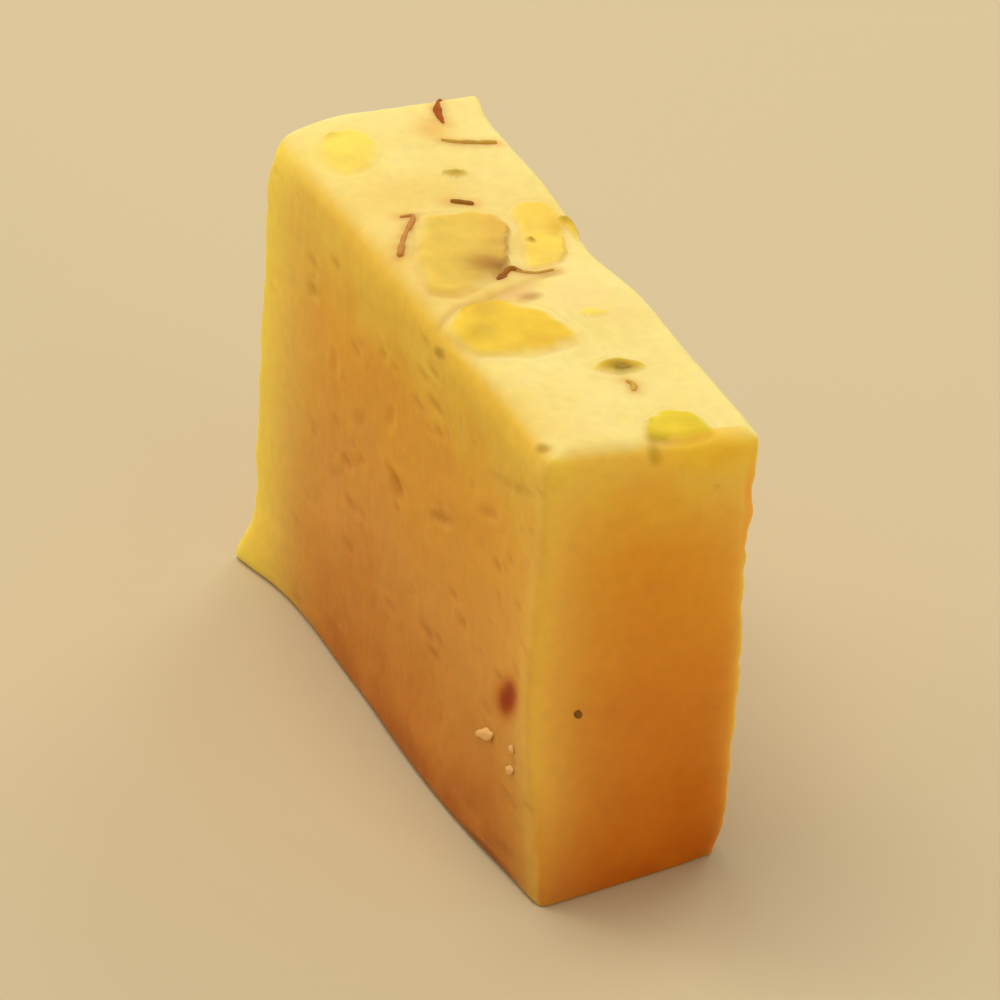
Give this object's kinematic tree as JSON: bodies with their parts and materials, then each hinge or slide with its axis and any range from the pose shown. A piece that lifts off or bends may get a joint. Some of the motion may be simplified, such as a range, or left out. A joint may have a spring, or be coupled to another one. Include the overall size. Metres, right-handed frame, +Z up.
{
  "type": "barfi",
  "caption": "Rectangular slab of pale yellow saffron milk sweet, hand cut, with pistachio slices and saffron threads pressed into its top.",
  "frame": {"origin": "on the resting plane, under the middle of the slab's box", "axes": "+Z up through the topped face, +Y along the slab from its front end to its back end, +X across its thickness from the left cut face to the right one"},
  "size_m": [0.0196, 0.0564, 0.0424],
  "materials": {
    "saffron_khoya": "soft, slightly waxy milk solids, pale yellow above and amber on the cut faces"
  },
  "bodies": {
    "root": {"barfi": "saffron_khoya"}
  },
  "joints": []
}
